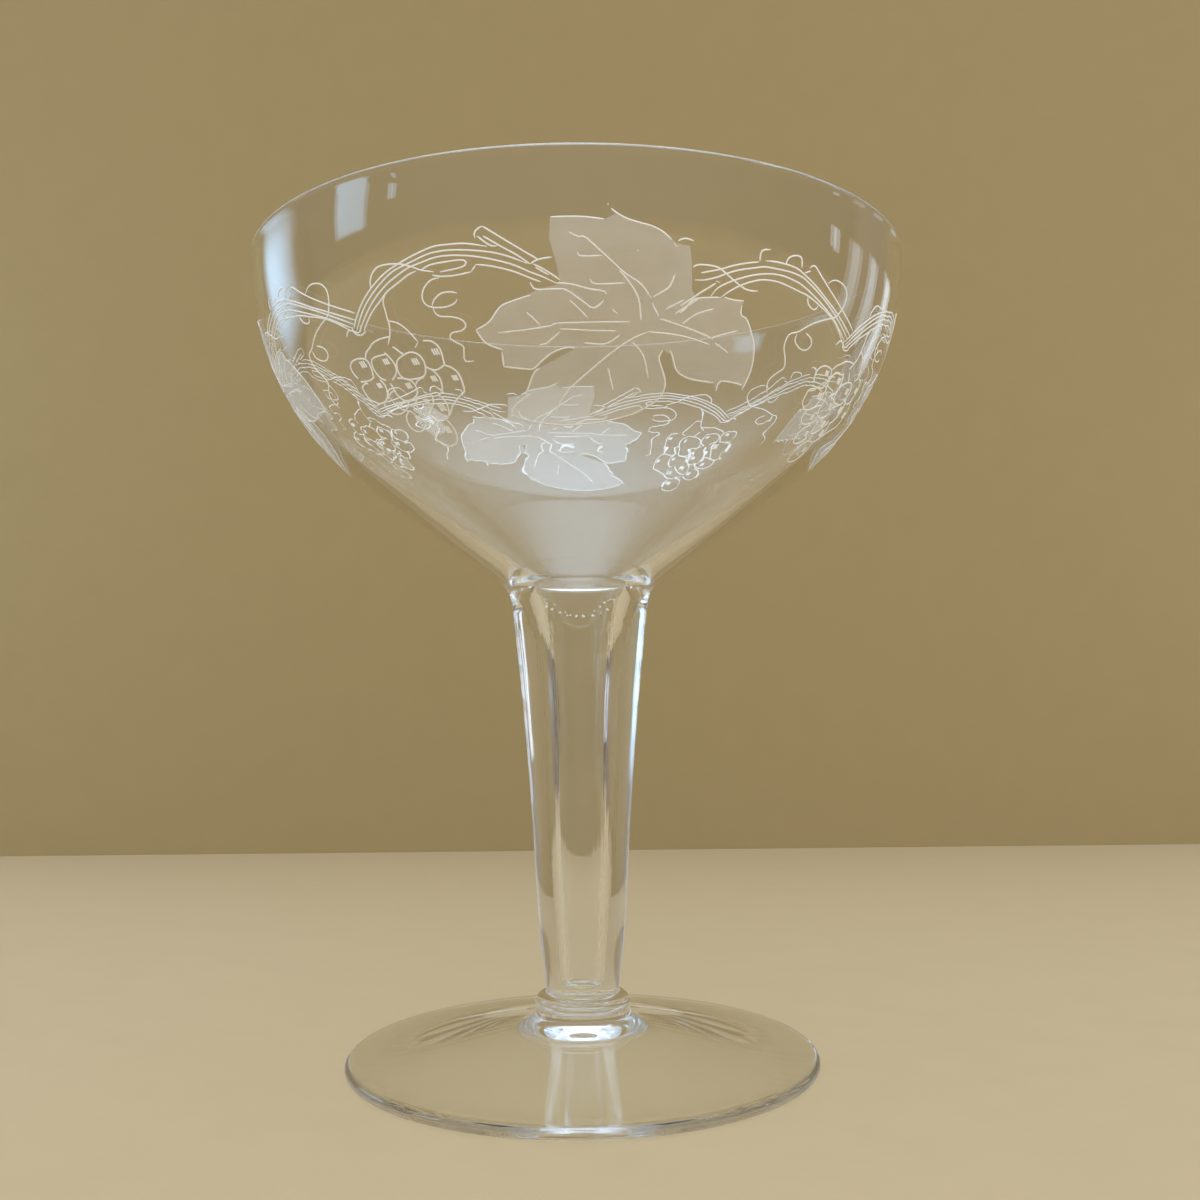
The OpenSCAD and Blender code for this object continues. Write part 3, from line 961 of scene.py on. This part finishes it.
# %% [markdown]
# Cut glass is frosted: under a lens it is a field of tiny chips, which scatter light and look
# white. The lines are nearly opaque. The broad faces of the leaves are only brushed by the
# wheel, so the glass behind them still shows, with a fine grain across the stroke.

# %% Materials of the cut lines and the brushed faces
CHIP_SCALE = 2600.0
CHIP_SHADE = 0.9
CHIP_BUMP = {"Strength": 0.4, "Distance": 0.02 * MM}
PATCH_SCALE = 120.0
STROKES_ACROSS = 300
STROKES_UP = 1500


def frosted(name, colour, cover, grain_depth):
    """Matt cut glass. cover is how much it hides, and grain_depth how far that varies."""
    material, graph = open_material(name)
    place = graph.shade("TexCoord")("Object")
    chips = graph.noise(place, CHIP_SCALE, detail=2.0)
    x, y, z = map(graph.parts(place), "XYZ")
    brushed = graph.spot(x * STROKES_ACROSS, y * STROKES_ACROSS, z * STROKES_UP)
    strokes = graph.noise(brushed, scale=1.0, detail=3.0)
    patches = graph.noise(place, PATCH_SCALE, detail=2.0)
    paint = graph.shade("BsdfPrincipled", {
        "Base Color": graph.mix(chips, colour, darker(colour, CHIP_SHADE)),
        "Roughness": 0.9, "Specular IOR Level": 0.3,
        "Alpha": cover + (strokes - 0.5) * grain_depth + (patches - 0.5) * grain_depth,
        "Normal": graph.shade("Bump", {"Height": chips, **CHIP_BUMP})()})()
    graph.shade("OutputMaterial", {"Surface": paint})
    return material


CUT_LINE = frosted("cut_line", (0.95, 0.95, 0.94, 1), cover=0.95, grain_depth=0.15)
BRUSHED_FACE = frosted("brushed_face", (0.88, 0.9, 0.94, 1), cover=0.15, grain_depth=0.09)
print("cut materials made")

# %% Cut the lines
RUN_WIDTHS = [(CANES, 0.24), (LEAF_EDGES, 0.23), (LEAF_VEINS, 0.21), (TENDRILS, 0.23),
              (STALK, 0.22)]


def marked_sheet(name, chains, mark, numbers):
    """A flat drawing whose points each bring a number along."""
    sheet = chain_mesh(name, chains)
    sheet.attributes.new(mark, "FLOAT", "POINT").data.foreach_set("value", numbers)
    return sheet


cut_runs = [(run, width * MM, span) for span in spray_spans
            for runs, width in RUN_WIDTHS for run in runs]
lines_sheet = marked_sheet("vine_lines", [on_sheet(run, span) for run, width, span in cut_runs],
                           "width", [width for run, width, span in cut_runs for point in run])
vine_lines = run_tree(cut_line_tree(), "vine_lines", lines_sheet,
                      {**BOWL_VALUES, "Step": LINE_STEP, "Cut": CUT_LINE})
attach(vine_lines, "root")

# %% Cut the grapes
GRAPE_LINE = 0.26
GLEAM_STROKES = 3
GLEAM_LENGTH = 0.75
GLEAM_GAP = 0.36
GLEAM_SEED = 7

skin_runs = [on_sheet(run, span) for span in spray_spans for run in GRAPE_EDGES]
gleam_spots = [[spot] for span in spray_spans for spot in on_sheet(GRAPE_GLEAMS, span)]
is_gleam = [0] * sum(map(len, skin_runs)) + [1] * len(gleam_spots)
grape_sheet = marked_sheet("grapes", skin_runs + gleam_spots, "gleam", is_gleam)
grapes = run_tree(grape_tree(), "grapes", grape_sheet, {
    **BOWL_VALUES, "Step": LINE_STEP, "Line Width": GRAPE_LINE * MM, "Strokes": GLEAM_STROKES,
    "Stroke Length": GLEAM_LENGTH * MM, "Stroke Gap": GLEAM_GAP * MM, "Seed": GLEAM_SEED,
    "Cut": CUT_LINE})
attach(grapes, "root")

# %% [markdown]
# The brushed faces of the leaves. A flat outline becomes a face, a lattice of straight cuts
# divides it finely enough to bend with the bowl, and the tree lays it on the glass and gives it
# a thickness of a few hundredths of a millimetre, closed on all sides.

# %% Brush the leaves
LATTICE = 1.3
BRUSH_SINK = 0.02
BRUSH_DEPTH = 0.035
SAME_EDGE = 1e-7


def divided_face(outline):
    """A flat mesh of one outline, divided by a lattice of straight cuts."""
    flat = bmesh.new()
    flat.faces.new([flat.verts.new(point) for point in outline])
    for axis, normal in enumerate(((1, 0, 0), (0, 1, 0))):
        lowest = min(point[axis] for point in outline)
        highest = max(point[axis] for point in outline)
        for i in range(1, int((highest - lowest) / (LATTICE * MM)) + 1):
            spot = [0, 0, 0]
            spot[axis] = lowest + i * LATTICE * MM
            everything = [*flat.verts, *flat.edges, *flat.faces]
            bmesh.ops.bisect_plane(flat, geom=everything, plane_co=spot, plane_no=normal)
    bmesh.ops.triangulate(flat, faces=flat.faces)
    bmesh.ops.recalc_face_normals(flat, faces=flat.faces)
    if sum(face.normal.z for face in flat.faces) < 0:
        bmesh.ops.reverse_faces(flat, faces=flat.faces)
    return flat


def brushed_tree():
    graph, given = open_tree("brushed_faces", {
        **BOWL_INPUTS, "Sink": float, "Depth": float, "Cut": "material"})
    floor = wrap(graph, given, given("Geometry"), given("Sink") * -1)
    raised = graph.geo("ExtrudeMesh", {
        "Mesh": floor, "Offset Scale": given("Depth"), "Individual": False}, mode="FACES")("Mesh")
    under = graph.geo("FlipFaces", {"Mesh": floor})()
    both = graph.geo("JoinGeometry", {0: [raised, under]})()
    shell = graph.geo("MergeByDistance", {"Geometry": both, "Distance": SAME_EDGE})()
    return close_tree(graph, shell, given("Cut"))


leaf_sheet = bpy.data.meshes.new("leaf_faces")
gathered = bmesh.new()
for span in spray_spans:
    one = divided_face(on_sheet(LEAF_FACE, span))
    part = bpy.data.meshes.new("leaf_part")
    one.to_mesh(part)
    one.free()
    gathered.from_mesh(part)
    bpy.data.meshes.remove(part)
gathered.to_mesh(leaf_sheet)
gathered.free()
leaf_faces = run_tree(brushed_tree(), "leaf_faces", leaf_sheet, {
    **BOWL_VALUES, "Sink": BRUSH_SINK * MM, "Depth": BRUSH_DEPTH * MM, "Cut": BRUSHED_FACE})
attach(leaf_faces, "root")

# %% [markdown]
# Seed bubbles. Where the hot bowl was pressed onto the stem, a few dozen tiny bubbles of air
# stayed in the seam. They lie round the mouth of the bore, on a line that dips at the front and
# at the back, because the two gathers didn't meet level. Each one is a small ball of matt white:
# a painted glint, where a real bubble is clear and shines by reflection.

# %% Set the seed bubbles
SEEDS = 30
SEED_R = 0.13
SEED_SIZES = (0.5, 1.5)
SEED_STRAY = 0.2
SEED_DRAW = 3
SEAM_R = 5.45
SEAM_LOW_Z = 68.4
SEAM_RISE = 2.7


def seed_tree():
    graph, given = open_tree("seed_bubbles", {
        "Count": int, "Seam Radius": float, "Seam Height": float, "Seam Rise": float,
        "Bubble Radius": float, "Seed": int, "Bubble": "material"})
    ring = graph.geo("CurvePrimitiveCircle", {
        "Resolution": given("Count"), "Radius": given("Seam Radius")})()
    points = graph.geo("CurveToPoints", {"Curve": ring}, mode="EVALUATED")()
    parts = graph.parts(graph.geo("InputPosition")())
    sideways = (parts("X") / given("Seam Radius")) ** 2
    seam = graph.spot(0.0, 0.0, given("Seam Height") + given("Seam Rise") * sideways)
    stray = graph.node("FunctionNodeRandomValue", {
        0: (-SEED_STRAY * MM,) * 3, 1: (SEED_STRAY * MM,) * 3, "Seed": given("Seed")},
        data_type="FLOAT_VECTOR")(0)
    offset = graph.shade("VectorMath", {0: seam, 1: stray}, operation="ADD")()
    placed = graph.geo("SetPosition", {"Geometry": points, "Offset": offset})()
    bubble = graph.geo("MeshIcoSphere", {
        "Radius": given("Bubble Radius"), "Subdivisions": 2})("Mesh")
    size = graph.random(*SEED_SIZES, given("Seed"))
    seeds = graph.geo("InstanceOnPoints", {
        "Points": placed, "Instance": bubble, "Scale": size})()
    real = graph.geo("RealizeInstances", {"Geometry": seeds})()
    smooth = graph.geo("SetShadeSmooth", {"Geometry": real}, domain="FACE")()
    return close_tree(graph, smooth, given("Bubble"))


# Matt white balls: the whiteness is a painted glint, which real clear air bubbles get from reflection.
SEED_PAINTED_GLINT = frosted("seed_painted_glint", (0.95, 0.95, 0.94, 1), cover=0.7, grain_depth=0.1)
seed_bubbles = run_tree(seed_tree(), "seed_bubbles", bpy.data.meshes.new("seed_bubbles"), {
    "Count": SEEDS, "Seam Radius": SEAM_R * MM, "Seam Height": SEAM_LOW_Z * MM,
    "Seam Rise": SEAM_RISE * MM, "Bubble Radius": SEED_R * MM, "Seed": SEED_DRAW,
    "Bubble": SEED_PAINTED_GLINT})
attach(seed_bubbles, "root")

# %% [markdown]
# The stage. A pale table and a pale wall behind it, both plain, keep the eye on the glass. The
# wall stands where the horizon is in the photograph, because the stem bends that line and its
# place shows. Far out to both sides the wall's colour falls off into a painted shade, and the
# edges of the glass mirror those parts. Above the picture the wall thins out to nothing, so that
# the light of the room reaches the lower bowl from behind.

# %% Build the table and the wall
TABLE_COLOUR = (0.5, 0.365, 0.2, 1)
WALL_COLOUR = (0.36, 0.265, 0.12, 1)
# Painted shade: the colour that the wall darkens to at its far sides.
WALL_SHADE = (0.24, 0.19, 0.16, 1)
GRAIN_SCALE = 90.0
GRAIN_SHADE = 0.94
LIT_HALF = 0.24
SHADE_HALF = 0.55
WALL_Y = 0.256
TABLE_Z = -0.05 * MM
STAGE_HALF = 2.5
FADE_START = 0.32
WALL_TOP = 0.55


def plain_paint(name, colour, shade):
    """Matt paint with a fine grain, whose colour falls off to a painted shade at both sides."""
    material, graph = open_material(name)
    place = graph.shade("TexCoord")("Object")
    across, up = map(graph.parts(place), "XZ")
    grain = graph.noise(place, GRAIN_SCALE, detail=4.0)
    tone = graph.mix(grain, colour, darker(colour, GRAIN_SHADE))
    # Painted shade: the colour darkens from the lit middle towards the shade at both sides.
    fall = graph.ease(graph.maths("ABSOLUTE", across), LIT_HALF, SHADE_HALF)
    fade = graph.ease(up, FADE_START, WALL_TOP, start=1.0, end=0.0)
    paint = graph.shade("BsdfPrincipled", {
        "Base Color": graph.mix(fall, tone, shade), "Roughness": 0.8, "Alpha": fade})()
    graph.shade("OutputMaterial", {"Surface": paint})
    return material


def stage_sheet(name, near, far, colour, shade):
    """A flat sheet across the stage, from a near edge to a far one, each a depth and a height."""
    ends = ((-STAGE_HALF, near), (STAGE_HALF, near), (STAGE_HALF, far), (-STAGE_HALF, far))
    mesh = bpy.data.meshes.new(name)
    mesh.from_pydata([(x, *edge) for x, edge in ends], [], [(0, 1, 2, 3)])
    mesh.materials.append(plain_paint(name, colour, shade))
    sheet = bpy.data.objects.new(name, mesh)
    bpy.context.scene.collection.objects.link(sheet)


stage_sheet("table", (-STAGE_HALF, TABLE_Z), (WALL_Y, TABLE_Z), TABLE_COLOUR, TABLE_COLOUR)
stage_sheet("wall", (WALL_Y, TABLE_Z), (WALL_Y, WALL_TOP), WALL_COLOUR, WALL_SHADE)
print("the wall stands", WALL_Y / MM, "mm behind the glass")

# %% [markdown]
# Light. Clear glass is drawn by what it mirrors, so some lamps are shaped like the windows whose
# images lie on the bowl: a tall pane and a narrow one to the left, a broad one to the left and
# behind, and small ones to the right. Three upright slots behind on the right draw the long
# bright lines of the stem. The broad soft lamps at the front and the sides light the cut glass
# and leave no image in the glass.

# %% Sizes and places of the lamps
SKY_BLUE = (0.42, 0.7, 1.0)
PALE_BLUE = (0.7, 0.84, 1.0)
HARD = 16
SOFT = 2.5
# Each lamp: azimuth, elevation, distance, width, height, power, colour and edge
LAMPS = {
    "window_pane": (-76.5, 15, 0.9, 0.2, 0.3, 0.6, SKY_BLUE, HARD),
    "window_sliver": (-60, 15, 0.9, 0.03, 0.08, 0.03, SKY_BLUE, HARD),
    "left_strip": (-115, 8.3, 0.404, 0.18, 0.2, 0.3, SKY_BLUE, SOFT),
    "right_sliver": (92, 9, 0.9, 0.05, 0.1, 0.04, PALE_BLUE, HARD),
    "right_high": (93, 52, 0.9, 0.16, 0.12, 0.3, PALE_BLUE, HARD),
    "right_slot_1": (102, 3.1, 0.5, 0.06, 0.16, 0.035, PALE_BLUE, HARD),
    "right_slot_2": (114, 3.4, 0.45, 0.05, 0.144, 0.026, PALE_BLUE, HARD),
    "right_slot_3": (127, 4.3, 0.36, 0.04, 0.115, 0.017, PALE_BLUE, HARD),
}
SOFT_LAMPS = {
    "beside_camera": (12, 14, 1.0, 1.0, 0.44, 4.3, (1.0, 0.95, 0.88), HARD),
    "left_window": (-78, 20, 1.0, 0.8, 0.6, 3.7, (0.78, 0.88, 1.0), HARD),
    "right_window": (80, 20, 1.0, 0.8, 0.6, 3.7, (0.8, 0.9, 1.0), HARD),
}
print(len(LAMPS), "lamps that show in the glass and", len(SOFT_LAMPS), "that don't")

# %% Hang the lamps
BOWL_MIDDLE = Vector((0, 0, 0.1))


def hang_lamp(name, azimuth, elevation, distance, width, height, power, colour, edge):
    """A rectangular lamp that faces the bowl. Azimuth 0 is the camera's side and 90 the right.
    A low edge number lets it fade towards its sides, as a window with a curtain does."""
    a, e = math.radians(azimuth), math.radians(elevation)
    towards = Vector((math.sin(a) * math.cos(e), -math.cos(a) * math.cos(e), math.sin(e)))
    light = bpy.data.lights.new(name, "AREA")
    light.shape = "RECTANGLE"
    light.size, light.size_y = width, height
    light.energy = power
    light.color = colour
    light.use_nodes = True
    light.node_tree.nodes.clear()
    graph = Graph(light.node_tree)
    across = graph.parts(graph.shade("NewGeometry")("Parametric"))
    fade = 1
    for side in "XY":
        fade = (1 - graph.maths("ABSOLUTE", across(side) * 2 - 1) ** edge) * fade
    shine = graph.shade("Emission", {"Strength": fade})()
    graph.shade("OutputLight", {"Surface": shine})
    lamp = bpy.data.objects.new(name, light)
    lamp.location = BOWL_MIDDLE + towards * distance
    lamp.rotation_mode = "QUATERNION"
    lamp.rotation_quaternion = (-towards).to_track_quat("-Z", "Y")
    lamp.visible_camera = False
    bpy.context.scene.collection.objects.link(lamp)
    return lamp


for name, how in LAMPS.items():
    hang_lamp(name, *how)
for name, how in SOFT_LAMPS.items():
    lamp = hang_lamp(name, *how)
    lamp.visible_glossy = False
    lamp.visible_transmission = False

# %% [markdown]
# The room. It is brightest straight above, which lights the table and lays a soft sheen on the
# floor of the bowl. It is darker at the sides, and the dark sides draw the edges of the glass, as
# black cards do in a photographer's studio.

# %% Light the room around
ROOM_COLOUR = (0.9, 0.95, 1.0, 1)
SKY_COLOUR = (0.6, 0.78, 1.0, 1)
ROOM_GLOW = 0.33
SIDE_SHADE = 0.2
SKY_GLOW = 2.9
SKY_SPREAD = 5
world = bpy.data.worlds.new("room")
bpy.context.scene.world = world
world.use_nodes = True
world.node_tree.nodes.clear()
room = Graph(world.node_tree)
x, z = map(room.parts(room.shade("TexCoord")("Generated")), "XZ")
overhead = room.maths("MAXIMUM", z, 0) ** SKY_SPREAD
glow = room.shade("Background", {
    "Color": room.mix(overhead, ROOM_COLOUR, SKY_COLOUR),
    "Strength": ROOM_GLOW - SIDE_SHADE * x ** 2 + SKY_GLOW * overhead})()
room.shade("OutputWorld", {"Surface": glow})
print("the room's tree has", len(world.node_tree.nodes), "nodes")

# %% [markdown]
# Render settings that belong to glass. A ray through the bowl and the hollow stem crosses many
# surfaces, so more bounces are allowed than usual.

# %% Let light go through many surfaces
GLASS_BOUNCES = 32
CLEAR_BOUNCES = 48
scene = bpy.context.scene
scene.view_settings.view_transform = "Standard"
scene.cycles.max_bounces = GLASS_BOUNCES
scene.cycles.transmission_bounces = GLASS_BOUNCES
scene.cycles.glossy_bounces = GLASS_BOUNCES
scene.cycles.transparent_max_bounces = CLEAR_BOUNCES
scene.cycles.caustics_reflective = False
scene.cycles.caustics_refractive = False
print("a ray may bend", scene.cycles.transmission_bounces, "times")
